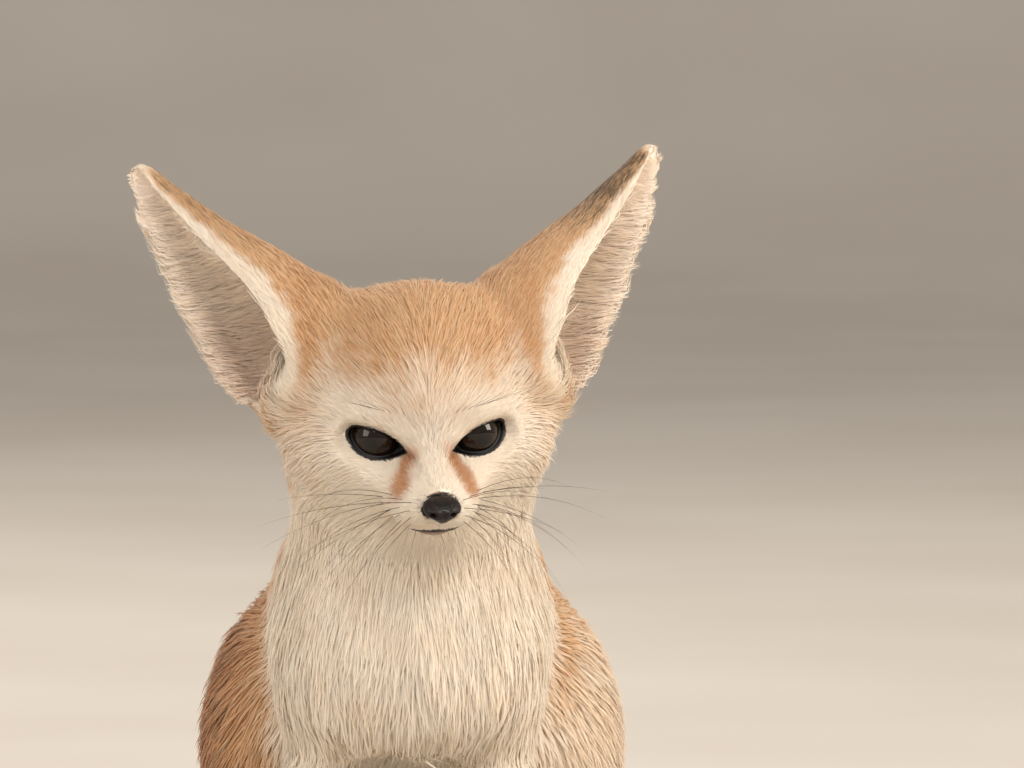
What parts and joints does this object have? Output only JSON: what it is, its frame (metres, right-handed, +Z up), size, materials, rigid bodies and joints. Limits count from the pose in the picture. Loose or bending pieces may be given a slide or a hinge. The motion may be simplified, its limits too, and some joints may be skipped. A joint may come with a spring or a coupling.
{
  "type": "fennec fox model",
  "caption": "Life-size still model of a fennec fox sitting low with its hind feet flat, very large upright ears, head turned slightly and the brush laid out behind.",
  "frame": {"origin": "middle of the underside of the box round the whole animal, on the floor it sits on", "axes": "+Z up, -Y the way the animal faces, +X its own left side; the tail runs towards +Y"},
  "size_m": [0.1926, 0.4262, 0.289],
  "materials": {
    "sandy_coat": "dense matt fur, sandy orange",
    "cream_coat": "dense matt fur, creamy white",
    "rusty_coat": "long matt fur, rusty sand",
    "black_coat": "long matt fur, black-brown",
    "nose_leather": "moist pebbled black skin",
    "eye": "polished dark brown",
    "claw": "smooth dark horn"
  },
  "bodies": {
    "root": {"head": "sandy_coat", "nose": "nose_leather", "neck": "cream_coat", "torso_front": "sandy_coat", "torso_rear": "sandy_coat", "eye_left": "eye", "ear_left": "sandy_coat", "foreleg_left": "cream_coat", "thigh_left": "sandy_coat", "forepaw_left": "cream_coat", "hindpaw_left": "cream_coat", "forepaw_left_claw_1": "claw", "forepaw_left_claw_2": "claw", "forepaw_left_claw_3": "claw", "forepaw_left_claw_4": "claw", "hindpaw_left_claw_1": "claw", "hindpaw_left_claw_2": "claw", "hindpaw_left_claw_3": "claw", "hindpaw_left_claw_4": "claw", "eye_right": "eye", "ear_right": "sandy_coat", "foreleg_right": "cream_coat", "thigh_right": "sandy_coat", "forepaw_right": "cream_coat", "hindpaw_right": "cream_coat", "forepaw_right_claw_1": "claw", "forepaw_right_claw_2": "claw", "forepaw_right_claw_3": "claw", "forepaw_right_claw_4": "claw", "hindpaw_right_claw_1": "claw", "hindpaw_right_claw_2": "claw", "hindpaw_right_claw_3": "claw", "hindpaw_right_claw_4": "claw", "tail_base": "rusty_coat", "tail_middle": "rusty_coat", "tail_tip": "black_coat"}
  },
  "joints": []
}
